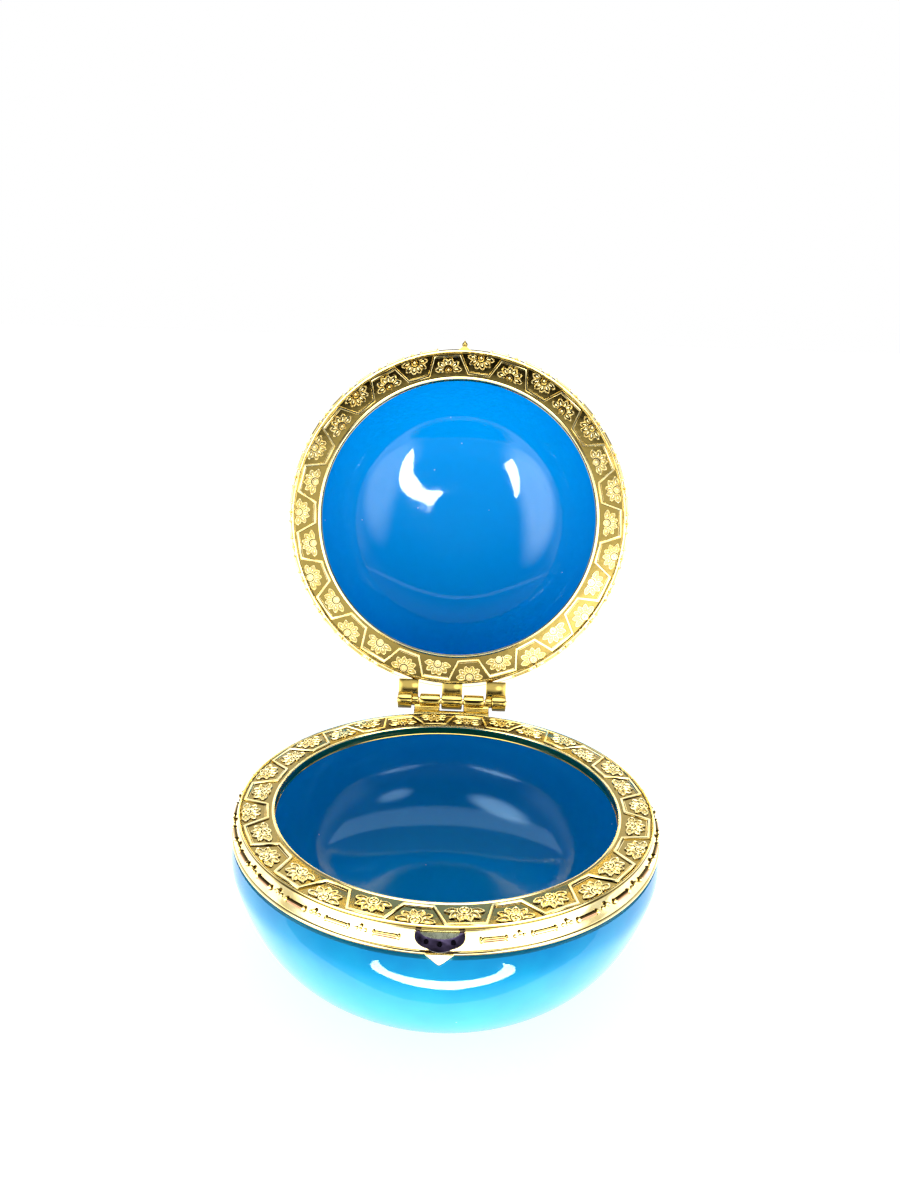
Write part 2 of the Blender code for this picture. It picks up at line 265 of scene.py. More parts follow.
# ---- the glazed bowls
baseBowl = {
    "bulge": (34.50, 6.95, 20.70),      # widest radius, its depth, and the fall below it
    "powers": (4.25, 1.40),
    "wallDepth": 22.95,
    "foot": [(25.75, 23.22), (25.3, 23.42), (24.75, 23.5), (22.7, 23.5), (22.35, 23.42),
             (22.0, 23.2), (21.4, 23.12), (14.0, 23.08), (6.0, 23.06), (0.0, 23.06)],
    "insideDepth": 20.80,
}
lidBowl = {
    "bulge": (34.00, 3.60, 19.70),
    "powers": (2.0, 2.0),
    "wallDepth": 23.30,
    "foot": [],
    "insideDepth": 20.70,
}
mouth = {
    "edge": [(33.72, 3.74), (33.3, 3.62), (32.4, 3.60), (32.16, 3.5), (32.10, 3.3), (32.10, 1.35),
             (31.95, 1.13), (31.7, 1.05), (29.0, 1.05), (28.72, 1.13), (28.60, 1.35)],
    "bulge": (28.60, 1.65),             # inside radius and the depth where it starts to close
    "powers": (3.3, 2.0),
    "shoulder": 3.95,                   # depth where the outside wall turns in under the band
    "wallSteps": 22, "shoulderSteps": 4,
    "turns": 144, "sharp": 50,
    "heart": -3,                        # height of the point that the inside walls face
}


def wallCurve(bulge, powers, depth, steps):
    radius, start, fall = bulge
    last = min(1.0, (depth - start) / fall)
    points = []
    for k in range(1, steps + 1):
        t = last * math.sin(math.pi / 2 * k / steps)
        points.append((radius * max(0.0, 1 - t ** powers[1]) ** (1 / powers[0]), start + t * fall))
    return points


def makeBowl(name, bowl):
    radius, start, fall = bowl["bulge"]
    outside = []
    for k in range(mouth["shoulderSteps"] + 1):     # from the shoulder down to the bulge
        depth = mouth["shoulder"] + (start - mouth["shoulder"]) * k / mouth["shoulderSteps"]
        if start > mouth["shoulder"] or k == 0:
            outside.append((radius * (1 - 0.5 * ((depth - start) / fall) ** 2), depth))
    outside += wallCurve(bowl["bulge"], bowl["powers"], bowl["wallDepth"], mouth["wallSteps"])
    outside += bowl["foot"]
    closing = (mouth["bulge"][0], mouth["bulge"][1], bowl["insideDepth"] - mouth["bulge"][1])
    inside = [mouth["bulge"]] + wallCurve(closing, mouth["powers"], bowl["insideDepth"],
                                          mouth["wallSteps"])
    section = outside[::-1] + mouth["edge"] + inside
    made = turnProfile(name, [(r, -depth) for r, depth in section], mouth["turns"])
    heart = Vector((0, 0, mouth["heart"]))
    markValue(made, "insideWall", lambda vert: float(vert.normal.dot(vert.co - heart) < 0))
    return made


# ---- the flower panels on the flanges
daisy = {
    "tips": [2.62, 2.52, 2.30, 2.30, 2.52, 2.62],    # how far each petal reaches
    "firstPetal": 2, "petalStep": 35.2,              # degrees from the panel's length
    # one side of a petal: reach and half width, drawn for a tip at drawnTip
    "petal": [(0.92, 0.17), (1.15, 0.37), (1.50, 0.49), (1.86, 0.47), (2.18, 0.34), (2.42, 0.17)],
    "drawnTip": 2.55, "root": 1,                     # the root isn't stretched with the tip
    "petalLine": 0.25, "petalHeight": 0.22, "petalEdge": 0.085, "petalFoot": 0.08,
    "padTop": 0.08, "padFoot": 0.04, "padTone": 0.42,    # a low filling inside each petal, toned with painted shade
    "leafAt": 1.52, "leafHeight": 0.02, "leafSize": (0.40, 0.16, 0.16),
    "ring": 0.60, "ringHeight": 0.16, "ringLine": 0.13,
    "arc": 0.96, "arcHeight": 0.10, "arcFrom": -0.42,    # a wider ring, cut off below the middle
    "dot": 0.25, "dotHeight": 0.12,
    "eyeSize": 0.74, "eyeTop": 0.10, "eyeTone": 0.0,     # the low disc that ring and dot stand on
    "petalBright": (0.06, 0.19), "restBright": (-0.02, 0.10),    # where the painted shade at the foot clears
    "outwardRadius": 29.40, "inwardRadius": 31.95,
}


def fillOutline(name, outline, top, tone):
    # a low flat filling, all of one tone of painted shade
    foot = daisy["padFoot"]
    filling = drawShape(name, [Vector((x, y, -foot)) for x, y in outline], (0, 0, top + foot))
    markValue(filling, "hollow", lambda vert: tone)
    return filling


def makeDaisy():
    parts = []
    for k, tip in enumerate(daisy["tips"]):
        stretch = tip / daisy["drawnTip"]
        side = [(reach * stretch if reach > daisy["root"] else reach, half)
                for reach, half in daisy["petal"]]
        outline = [(reach, -half) for reach, half in side] + [(tip, 0)] + side[::-1]
        petal = raiseLine("petal", outline, daisy["petalLine"], daisy["petalHeight"],
                          daisy["petalFoot"], daisy["petalEdge"])
        leaf = bead(1, (daisy["leafAt"] * stretch, 0, daisy["leafHeight"]), daisy["leafSize"])
        paintFootShade(petal, daisy["petalBright"])
        paintFootShade(leaf, daisy["restBright"])
        pad = fillOutline("pad", outline, daisy["padTop"], daisy["padTone"])
        turn = rotate(daisy["firstPetal"] + daisy["petalStep"] * k)
        for part in (petal, leaf, pad):
            part.matrix_world = turn @ part.matrix_world
            parts.append(part)
    centre = []
    for radius, height in ((daisy["ring"], daisy["ringHeight"]), (daisy["arc"], daisy["arcHeight"])):
        clearSelection()
        bpy.ops.mesh.primitive_torus_add(major_radius=radius, minor_radius=daisy["ringLine"],
                                         major_segments=24, minor_segments=6, location=(0, 0, height))
        ring = bpy.context.object
        if radius == daisy["arc"]:      # only its upper side shows between the petals
            openEdit(ring)
            bpy.ops.mesh.bisect(plane_co=(0, daisy["arcFrom"], 0), plane_no=(0, 1, 0),
                                clear_inner=True, use_fill=True)
            bpy.ops.object.mode_set(mode="OBJECT")
        centre.append(ring)
    centre.append(bead(daisy["dot"], (0, 0, daisy["dotHeight"]), (1, 1, 1.1)))
    for part in centre:
        paintFootShade(part, daisy["restBright"])
    edge = [polar(daisy["eyeSize"], 18 * k) for k in range(20)]
    centre.append(fillOutline("eye", edge, daisy["eyeTop"], daisy["eyeTone"]))
    return joinAll(parts + centre, "daisy")


# ---- the cast rims
rim = {
    # radius and height above the flange's face, from the opening's edge round the outside
    "section": [(27.50, -0.22), (27.50, -0.02), (27.56, 0.07), (27.68, 0.11), (27.82, 0.08),
                (27.92, 0.01), (28.02, -0.01), (28.12, 0.0), (32.58, 0.0), (32.66, 0.0), (32.74, 0.05),
                (32.80, 0.24), (32.88, 0.34), (32.99, 0.37), (33.10, 0.32), (33.16, 0.20),
                (33.18, -0.02), (33.24, -0.12), (33.34, -0.36), (33.48, -0.80), (33.60, -1.25),
                (33.72, -1.75), (33.86, -2.25), (33.98, -2.60), (34.00, -2.70), (33.98, -2.76),
                (34.06, -2.82), (34.18, -2.94), (34.22, -3.08), (34.18, -3.22), (34.04, -3.30),
                (33.55, -3.30), (33.38, -3.20), (32.62, -1.10), (32.45, -0.75), (28.24, -0.75),
                (28.22, -1.46), (28.26, -1.54), (28.22, -1.64), (28.02, -1.68), (27.60, -1.66),
                (27.50, -1.58), (27.50, -1.48), (27.58, -1.40), (27.58, -0.34)],
    "turns": 300,
    # radii and heights of the sunk parts, and how deep the painted shade on each one is
    "sunkShade": [(28.0, 32.68, -0.015, 0.015, 0.76), (32.70, 32.76, 0.04, 0.06, 0.70),
             (33.14, 33.17, 0.19, 0.21, 0.80), (33.16, 33.26, -0.035, -0.005, 1.0),
             (33.96, 34.0, -2.775, -2.745, 1.0), (27.4, 28.3, -1.70, -0.30, 0.47)],
    "panelPitch": 12,                    # degrees from one flower to the next
    "ridgeIn": 28.66, "ridgeInHalf": 4.1,
    "ridgeOut": 32.38, "ridgeOutHalf": 4.7,
    "ridgeWidth": 0.48, "ridgeHeight": 0.26, "ridgeEdge": 0.11, "ridgeFoot": 0.15,
    "ridgeBright": (0.04, 0.20),         # heights between which the painted shade at the foot clears
    "lineGap": 0.40,                     # the fine second line inside each end of a panel
    "lineInHalf": 3.5, "lineOutHalf": 4.4,
    # lineBright: heights between which the painted shade at the line's foot clears
    "line": 0.13, "lineHeight": 0.10, "lineFoot": 0.05, "lineEdge": 0.04, "lineBright": (-0.02, 0.05),
}
band = {
    # half of a bar from its middle to its end: radius and distance
    "bar": [(0.33, 0.0), (0.33, 1.36), (0.26, 1.44), (0.26, 1.52), (0.40, 1.58), (0.45, 1.70),
            (0.41, 1.83), (0.27, 1.93), (0.0, 1.97)],
    # barFoot and beadFoot: distances over which the painted shade at the feet of bars and beads clears
    "plainHalf": 1.40, "barRadius": 33.68, "barHeight": -1.36, "barTurns": 12, "barFoot": (-0.02, 0.15),
    "bead": 0.33, "beadSpread": (0.66, 0.52), "beadRadius": 33.62, "beadFoot": (-0.02, 0.14),
    "middleBead": 0.264, "middleForward": 0.03,
    "lean": 15, "bareFront": 10,        # degrees
}
baseRimLook = {
    "bareBack": 13,                     # degrees each side of the hinge without bars or beads
    "copper": 1.0, "footShade": 1.0,    # how far the bars take the copper, and how deep the painted shade at their feet is
    # painted shade on the gilt before the hinge: how far, and the axes and distances it comes in over
    "hingeShade": 0.32, "hingeShadeOver": [(1, 22, 30), (1, 33.2, 32.5), (0, 20, 11), (0, -20, -11)],
}
lidRimLook = {
    "bareBack": 19, "copper": 0.0, "footShade": 0.3,
    "hingeShade": 0.10, "hingeShadeOver": [(1, 24, 31)],
}


def makeRimCast():
    cast = turnProfile("cast", rim["section"] + rim["section"][:1], rim["turns"])
    # painted shade on the sunk ground and inside the opening
    markValue(cast, "hollow", lambda vert: max(
        share * (low < vert.co.xy.length < high and bottom < vert.co.z < top)
        for low, high, bottom, top, share in rim["sunkShade"]))
    pitch = rim["panelPitch"]
    path = []
    for k in range(0, 360, 2 * pitch):
        for middle, radius, half in ((k - pitch / 2, rim["ridgeIn"], rim["ridgeInHalf"]),
                                     (k + pitch / 2, rim["ridgeOut"], rim["ridgeOutHalf"])):
            path += [polar(radius, middle - half), polar(radius, middle + half)]
    zigzag = raiseLine("zigzag", path, rim["ridgeWidth"], rim["ridgeHeight"], rim["ridgeFoot"],
                       rim["ridgeEdge"], closed=True)
    paintFootShade(zigzag, rim["ridgeBright"])
    parts = [cast, zigzag]
    for start, radius, half in ((-pitch / 2, rim["ridgeIn"] + rim["lineGap"], rim["lineInHalf"]),
                                (pitch / 2, rim["ridgeOut"] - rim["lineGap"], rim["lineOutHalf"])):
        ends = [polar(radius, -half), polar(radius, half)]
        line = raiseLine("panelLine", ends, rim["line"], rim["lineHeight"], rim["lineFoot"],
                         rim["lineEdge"])
        paintFootShade(line, rim["lineBright"])
        for k in range(0, 360, 2 * pitch):
            parts.append(copyTo(line, rotate(start + k)))
        discard(line)
    flower = makeDaisy()
    for k in range(0, 360, 2 * pitch):
        parts.append(copyTo(flower, aroundZ(k + pitch / 2, daisy["outwardRadius"])))
        parts.append(copyTo(flower, aroundZ(k - pitch / 2, daisy["inwardRadius"], turn=180)))
    discard(flower)
    return parts


def makeBandTrim(look):
    # the bars at the panel joints and the bead clusters between them
    half = band["bar"]
    section = [(radius, -along) for radius, along in half[:0:-1]] + half
    bar = layAlong(turnProfile("bar", section, band["barTurns"]), Matrix())
    paintFootShade(bar, band["barFoot"], look["footShade"], axis=1)
    markValue(bar, "copper", lambda vert: look["copper"] * (abs(vert.co.x) < band["plainHalf"]))
    width, height = band["beadSpread"]
    beads = [bead(band["bead"], (x, 0, z), (1, 0.8, 1))
             for x, z in ((-width, 0), (width, 0), (0, height), (0, -height))]
    beads.append(bead(band["middleBead"], (0, band["middleForward"], 0)))
    cluster = joinAll(beads, "beads")
    paintFootShade(cluster, band["beadFoot"], look["footShade"], axis=1)
    lean = rotate(-band["lean"], "X")
    parts = []
    for k in range(0, 360, rim["panelPitch"] // 2):
        fromFront = min(k, 360 - k)
        if fromFront < band["bareFront"] or 180 - fromFront < look["bareBack"]:
            continue
        onJoint = k % rim["panelPitch"] == 0
        ornament = bar if onJoint else cluster
        radius = band["barRadius"] if onJoint else band["beadRadius"]
        parts.append(copyTo(ornament, aroundZ(k, radius, band["barHeight"]) @ lean))
    discard(bar)
    discard(cluster)
    return parts


def makeRim(name, look, fittings):
    made = joinAll(makeRimCast() + makeBandTrim(look) + fittings, name)
    # painted shade near the hinge, darker towards the back
    markValue(made, "hingeShade", lambda vert: look["hingeShade"] * math.prod(
        ramp(vert.co[axis], low, high) for axis, low, high in look["hingeShadeOver"]))
    return made


# ---- the hinge
knuckle = {
    "bore": 0.75, "edge": 0.20,
    "lidRadius": 1.65, "baseRadius": 1.45, "stubRadius": 1.08,
    "centreHalf": 2.05, "base": (2.35, 6.35), "stub": (6.65, 7.98), "outer": (7.95, 10.75),
    "turns": 36, "tone": 0.60,           # how far the hinge takes the darker gilt
    "hangs": (0.2, 0.8),                 # how far a face must hang down to take the painted shade
    "leafEdge": 0.10,
}
baseEar = {
    "halfWidth": 7.40, "notchHalf": 2.35,
    # distance back from the middle and height, round one ear
    "outline": [(32.9, -0.02), (33.5, 0.26), (34.5, 0.30), (35.1, 0.42), (35.45, 0.62), (35.6, 0.85),
                (36.4, 1.0), (37.7, 0.95), (38.0, 0.4), (37.75, -0.25), (37.2, -0.72), (36.2, -0.98),
                (33.2, -1.02)],
    "bridge": [(32.9, -0.02), (33.5, 0.26), (34.3, 0.28), (34.62, 0.18), (34.70, -0.05), (34.70, -0.75),
               (34.5, -0.98), (33.2, -1.02)],
    # fine raised lines across each ear
    "lines": [(34.55, 0.30), (34.95, 0.38), (35.28, 0.53)],
    "line": 0.07, "lineEdge": 0.02, "lineShort": 0.3, "lap": 0.3,
}
lidArm = {
    "outline": [(32.55, -0.18), (35.2, -0.12), (35.9, -0.3), (36.72, -0.5), (37.4, -0.9), (36.9, -1.46),
                (36.2, -1.42), (35.2, -1.16), (32.55, -1.08)],
    "outer": (6.75, 10.72),
}


def makeKnuckle(name, low, high, radius, pivotAt):
    edge = knuckle["edge"]
    section = sectionBetween(low, high, [(knuckle["bore"], 0), (radius - edge, 0),
                                         (radius - edge * 0.3, edge * 0.3), (radius, edge)])
    made = turnProfile(name, section + section[:1], knuckle["turns"])
    return layAlong(made, Matrix.Translation(pivotAt))


def drawAcross(name, outline, low, high):
    # an outline of (distance back, height) drawn out along X
    shape = drawShape(name, [Vector((low, y, z)) for y, z in outline], (high - low, 0, 0))
    addBevel(shape, knuckle["leafEdge"])
    return shape


def paintShadeUnder(leaf, down):
    # darker gilt all over, and painted shade on the side that hangs down while the box stands open
    down = Vector(down)
    markValue(leaf, "hollow", lambda vert: knuckle["tone"] + (1 - knuckle["tone"])
              * ramp(vert.normal.dot(down), *knuckle["hangs"]))
    return leaf


def makeBaseHinge():
    notch, wide = baseEar["notchHalf"], baseEar["halfWidth"]
    lap = notch + baseEar["lap"]
    parts = [drawAcross("bridge", baseEar["bridge"], -lap, lap)]
    for low, high in bothSides(notch, wide):
        parts.append(drawAcross("ear", baseEar["outline"], low, high))
        for y, z in baseEar["lines"]:
            clearSelection()
            bpy.ops.mesh.primitive_cylinder_add(vertices=8, radius=baseEar["line"],
                                                depth=high - low - baseEar["lineShort"],
                                                location=((low + high) / 2, y, z),
                                                rotation=(0, math.pi / 2, 0))
            line = bpy.context.object
            settle(line)
            addBevel(line, baseEar["lineEdge"], segments=1)
            parts.append(line)
    for low, high in bothSides(*knuckle["base"]):
        parts.append(makeKnuckle("roll", low, high, knuckle["baseRadius"], pivotOnBase))
    return [paintShadeUnder(joinAll(parts, "baseLeaf"), (0, 0, -1))]


def makeLidHinge():
    half = knuckle["centreHalf"]
    parts = [drawAcross("arm", lidArm["outline"], low, high)
             for low, high in ((-half, half), *bothSides(*lidArm["outer"]))]
    parts.append(makeKnuckle("roll", -half, half, knuckle["lidRadius"], pivotOnLid))
    for span, radius in ((knuckle["outer"], knuckle["lidRadius"]),
                         (knuckle["stub"], knuckle["stubRadius"])):
        for low, high in bothSides(*span):
            parts.append(makeKnuckle("roll", low, high, radius, pivotOnLid))
    return [paintShadeUnder(joinAll(parts, "lidLeaf"), (0, math.sin(openAngle), math.cos(openAngle)))]


# ---- the clasp, the drop below it and the lid's peak
clasp = {
    "halfWidth": 3.45, "drop": 2.38, "thickness": 0.55, "edge": 0.11,
    "lobes": 3, "lobeSwell": 0.07, "lobeSteps": 8, "lobeShift": 0.1, "cornerAt": 0.98,
    "hollow": 0.86, "hollowHalf": 2.55,     # depth and half width of the crescent bitten from its top
    "hollowSteps": 12,
    "top": (-33.50, -0.30), "lean": 46,
    "dimpleAt": [(-1.75, -1.22), (0.0, -1.50), (1.75, -1.22)], "dimple": 0.36, "dimpleOut": 0.08,
    "ledgeThickness": 0.2475, "ledgeEdge": 0.05,     # the lighter crescent laid in the bite, its grey-olive gilt a painted reflection
}
drop = {
    "outline": [(-1.88, -2.80), (1.88, -2.80), (1.86, -2.98), (1.25, -3.45), (0.55, -3.98),
                (0.12, -4.26), (-0.12, -4.26), (-0.55, -3.98), (-1.25, -3.45), (-1.86, -2.98)],
    "back": -33.4, "front": -34.85, "round": 0.22, "lean": 17, "leanAt": -4.26,
}
peak = {
    "foot": -32.75, "tip": -34.45, "halfWidth": 3.3, "flare": 2.6, "flareSteps": 8,
    "thickness": 0.80, "top": 0.12, "edge": 0.12,
    "ball": 0.56, "ballAt": (0, -34.42, -0.36), "tipBead": 0.20, "tipAt": (0, -35.02, -0.30),
    "tone": 0.74,
}


def makeClasp():
    half, fall, lobes = clasp["halfWidth"], clasp["drop"], clasp["lobes"]
    thickness, steps = clasp["thickness"], clasp["lobeSteps"]
    outline = []
    for lobe in range(lobes):
        for k in range(steps + 1):
            turn = (lobe + k / steps) / lobes * math.pi
            swell = 1 - clasp["lobeSwell"] + clasp["lobeSwell"] * math.sin(math.pi * k / steps)
            outline.append((half * math.cos(turn) * swell,
                            -fall * math.sin(turn) * swell - clasp["lobeShift"]))
    steps = clasp["hollowSteps"]
    bite = [(clasp["hollowHalf"] * math.cos(t), -clasp["hollow"] * math.sin(t))
            for t in (math.pi * (1 - k / steps) for k in range(steps + 1))]
    corner = half * clasp["cornerAt"]
    corners = [(-corner, 0.0)] + bite + [(corner, 0.0)]
    shell = drawShape("shell", [Vector((x, 0, z)) for x, z in outline + corners], (0, -thickness, 0))
    addBevel(shell, clasp["edge"], angle=40)
    out = thickness + clasp["dimpleOut"]
    pits = joinAll([bead(clasp["dimple"], (x, -out, z), segments=16, rings=10)
                    for x, z in clasp["dimpleAt"]], "pits")
    cut = shell.modifiers.new("pits", "BOOLEAN")
    cut.operation = "DIFFERENCE"
    cut.solver = "EXACT"
    cut.object = pits
    editOnly(shell)
    bpy.ops.object.modifier_apply(modifier=cut.name)
    discard(pits)
    for face in shell.data.polygons:        # painted shade makes the insides of the dimples darker still
        face.material_index = int(face.normal.y < -0.05 and face.center.y > 0.02 - thickness)
    ledge = drawShape("ledge", [Vector((x * 1.06, -0.02, z * 1.15 + 0.02)) for x, z in bite],
                      (0, -clasp["ledgeThickness"], 0))
    addBevel(ledge, clasp["ledgeEdge"], segments=1, angle=40)
    # the clasp's near-black gilt and its ledge's grey-olive gilt are painted reflections on gold, and
    # the dimples' near-black is painted shade
    for part, finishes in ((shell, (claspDarkReflection, pitShade)), (ledge, (ledgeGreyReflection,))):
        for finish in finishes:
            part.data.materials.append(finish)
    made = joinAll([shell, ledge], "thumb_clasp")
    made.matrix_world = (Matrix.Translation((0, *clasp["top"]))
                         @ rotate(-clasp["lean"], "X"))
    settle(made)
    return made


def makeDrop():
    front, back = drop["front"], drop["back"]
    made = drawShape("drop", [Vector((x, back, z)) for x, z in drop["outline"]], (0, front - back, 0))
    addBevel(made, drop["round"], segments=3, angle=50)
    tip = Matrix.Translation((0, front, drop["leanAt"]))
    made.matrix_world = tip @ rotate(-drop["lean"], "X") @ tip.inverted()
    settle(made)
    return made


def makePeak():
    foot, rise = peak["foot"], peak["tip"] - peak["foot"]
    shares = [k / peak["flareSteps"] for k in range(peak["flareSteps"])]
    flare = [(peak["halfWidth"] * (1 - t), foot + rise * t ** peak["flare"]) for t in shares]
    outline = flare + [(-x, y) for x, y in flare[::-1]]
    made = drawShape("peak", [Vector((x, y, peak["top"])) for x, y in outline],
                     (0, 0, -peak["thickness"]))
    addBevel(made, peak["edge"])
    parts = [made, bead(peak["ball"], peak["ballAt"], segments=20, rings=14),
             bead(peak["tipBead"], peak["tipAt"], segments=12, rings=8)]
    for part in parts:
        markValue(part, "hollow", lambda vert: peak["tone"])
    return parts


pinShape = {
    "reach": 11.02, "turns": 36,
    # a domed end: radii and how far in each one lies
    "end": [(0.0, 0.0), (0.34, 0.0), (0.58, 0.10), (0.65, 0.26)],
}


def makePin():
    section = sectionBetween(-pinShape["reach"], pinShape["reach"], pinShape["end"])
    made = turnProfile("brass_pin", section, pinShape["turns"])
    made.data.name = "brass_pin"
    return layAlong(made, Matrix.Translation(pivotOnBase))


# ---- node tools and the shared effects
def addNode(tree, kind, values=None, **settings):
    node = tree.nodes.new("ShaderNode" + kind)
    for label, value in settings.items():
        setattr(node, label, value)
    for label, value in (values or {}).items():
        feed(tree, value, node.inputs[label])
    return node


def feed(tree, value, *slots):
    # sets sockets to a number or a colour, or joins them to another node's output
    for slot in slots:
        if isinstance(value, (int, float, tuple)):
            slot.default_value = value
        else:
            tree.links.new(value, slot)


def join(tree, *pairs):
    for source, target in pairs:
        tree.links.new(source, target)


def maths(tree, operation, *values, clamp=False):
    node = addNode(tree, "Math", dict(enumerate(values)), operation=operation, use_clamp=clamp)
    return node.outputs[0]


def fade(tree, value, low, high):
    # 0 below low, 1 above high, smooth between; low may be above high to turn it round
    rises = low < high
    return addNode(tree, "MapRange", {
        "Value": value, "From Min": min(low, high), "From Max": max(low, high),
        "To Min": 0 if rises else 1, "To Max": 1 if rises else 0,
    }, interpolation_type="SMOOTHSTEP").outputs["Result"]


def blend(tree, mask, first, second):
    # mixes two levels or two colours
    kind = "RGBA" if isinstance(second, tuple) or getattr(second, "type", "") == "RGBA" else "VALUE"
    node = addNode(tree, "Mix", {0: mask}, data_type="RGBA" if kind == "RGBA" else "FLOAT")
    for label, value in (("A", first), ("B", second)):
        feed(tree, value, *[slot for slot in node.inputs if slot.name == label and slot.type == kind])
    return [slot for slot in node.outputs if slot.type == kind][0]


def noise(tree, spot, scale, detail):
    return addNode(tree, "TexNoise", {"Vector": spot, "Scale": scale, "Detail": detail,
                                      "Roughness": 0.55}).outputs["Fac"]


def readValue(tree, name, kind="Fac"):
    return addNode(tree, "Attribute", attribute_name=name).outputs[kind]


def readPlace(tree, kind):
    return addNode(tree, "TexCoord").outputs[kind]


def newGroup(name, inputs, outputs):
    group = bpy.data.node_groups.new(name, "ShaderNodeTree")
    for label, kind, *value in inputs:
        socket = group.interface.new_socket(name=label, in_out="INPUT", socket_type="NodeSocket" + kind)
        if value:
            socket.default_value = value[0]
    for label, kind in outputs:
        group.interface.new_socket(name=label, in_out="OUTPUT", socket_type="NodeSocket" + kind)
    return group, group.nodes.new("NodeGroupInput").outputs, group.nodes.new("NodeGroupOutput").inputs


# noises are given as scale per mm and detail, with the values between which they come in
castLook = {
    "cloud": (0.35, 3), "cloudFrom": (0.36, 0.66),
    "polish": (0.9, 4), "polishFrom": (0.35, 0.70),
    "swell": (0.8, 1), "grainDetail": 3, "grainShare": 0.35,
}
flowLook = {
    "wander": (0.16, 2), "wanderShare": 0.35, "cloud": (0.5, 4),
    "cells": 0.32, "rarity": 0.72, "pinholeDepth": 0.15,
    "uneven": (0.7, 3), "unevenFrom": (0.4, 0.75), "unevenShare": 0.05, "smoothest": 0.03,
    "swell": (0.22, 1),
}


def makeCastGrain():
    # a poured and plated metal: cloudy tone, a fine grain and uneven polish
    group, given, made = newGroup("castGrain", [
        ("Spot", "Vector"), ("Bright", "Color"), ("Deep", "Color"), ("Polished", "Float"),
        ("Dull", "Float"), ("Grains per mm", "Float"),
    ], [("Colour", "Color"), ("Roughness", "Float"), ("Height", "Float")])
    spot = given["Spot"]
    cloud = fade(group, noise(group, spot, *castLook["cloud"]), *castLook["cloudFrom"])
    polish = fade(group, noise(group, spot, *castLook["polish"]), *castLook["polishFrom"])
    grain = noise(group, spot, given["Grains per mm"], castLook["grainDetail"])
    swell = noise(group, spot, *castLook["swell"])
    colour = blend(group, cloud, given["Bright"], given["Deep"])
    spread = maths(group, "SUBTRACT", given["Dull"], given["Polished"])
    rough = maths(group, "MULTIPLY_ADD", polish, spread, given["Polished"])
    height = maths(group, "ADD", maths(group, "MULTIPLY", grain, castLook["grainShare"]), swell)
    join(group, (colour, made["Colour"]), (rough, made["Roughness"]), (height, made["Height"]))
    return group


def makeGlazeFlow():
    # a fired glaze: its colour moves from Top to Foot down the wall, it is faintly clouded, and has a
    # few pinholes
    group, given, made = newGroup("glazeFlow", [
        ("Spot", "Vector"), ("Top", "Color"), ("Foot", "Color"), ("Cloud", "Float"),
        ("Fall", "Float", 23.0), ("Pinhole size", "Float", 0.05),
    ], [("Colour", "Color"), ("Roughness", "Float"), ("Height", "Float"), ("Pinholes", "Float")])
    spot = given["Spot"]
    parts = addNode(group, "SeparateXYZ", {"Vector": spot})
    below = maths(group, "MULTIPLY", parts.outputs["Z"], -1)
    depth = maths(group, "DIVIDE", below, given["Fall"], clamp=True)
    wander = maths(group, "SUBTRACT", noise(group, spot, *flowLook["wander"]), 0.5)
    wander = maths(group, "MULTIPLY", wander, flowLook["wanderShare"])
    flow = maths(group, "ADD", depth, wander, clamp=True)
    colour = blend(group, flow, given["Top"], given["Foot"])
    clouds = maths(group, "SUBTRACT", noise(group, spot, *flowLook["cloud"]), 0.5)
    shade = maths(group, "MULTIPLY_ADD", clouds, given["Cloud"], 1.0)
    lit = addNode(group, "VectorMath", {0: colour, "Scale": shade}, operation="SCALE")
    cells = addNode(group, "TexVoronoi", {"Vector": spot, "Scale": flowLook["cells"]})
    pick = addNode(group, "SeparateColor", {"Color": cells.outputs["Color"]})
    chosen = maths(group, "GREATER_THAN", pick.outputs["Red"], flowLook["rarity"])
    close = maths(group, "LESS_THAN", cells.outputs["Distance"], given["Pinhole size"])
    pinhole = maths(group, "MULTIPLY", chosen, close)
    uneven = fade(group, noise(group, spot, *flowLook["uneven"]), *flowLook["unevenFrom"])
    rough = maths(group, "MULTIPLY_ADD", uneven, flowLook["unevenShare"], flowLook["smoothest"])
    height = maths(group, "SUBTRACT", noise(group, spot, *flowLook["swell"]),
                   maths(group, "MULTIPLY", pinhole, flowLook["pinholeDepth"]))
    join(group, (lit.outputs["Vector"], made["Colour"]), (rough, made["Roughness"]),
         (height, made["Height"]), (pinhole, made["Pinholes"]))
    return group


castGrain = makeCastGrain()
glazeFlow = makeGlazeFlow()


def newFinish(name, **shader):
    made = bpy.data.materials.new(name)
    made.use_nodes = True
    surface = made.node_tree.nodes["Principled BSDF"].inputs
    for label, value in shader.items():
        surface[label.replace("_", " ")].default_value = value
    return made, made.node_tree, surface


def useGroup(tree, group, **values):
    named = {label.replace("_", " "): value for label, value in values.items()}
    named["Spot"] = readValue(tree, "benchSpot", "Vector")
    return addNode(tree, "Group", named, node_tree=group).outputs


def coverWith(tree, surface, colour, rough, height, depth):
    # depth is that of the fine relief, in mm
    bump = addNode(tree, "Bump", {"Height": height, "Distance": depth * mm})
    join(tree, (colour, surface["Base Color"]), (rough, surface["Roughness"]),
         (bump.outputs["Normal"], surface["Normal"]))


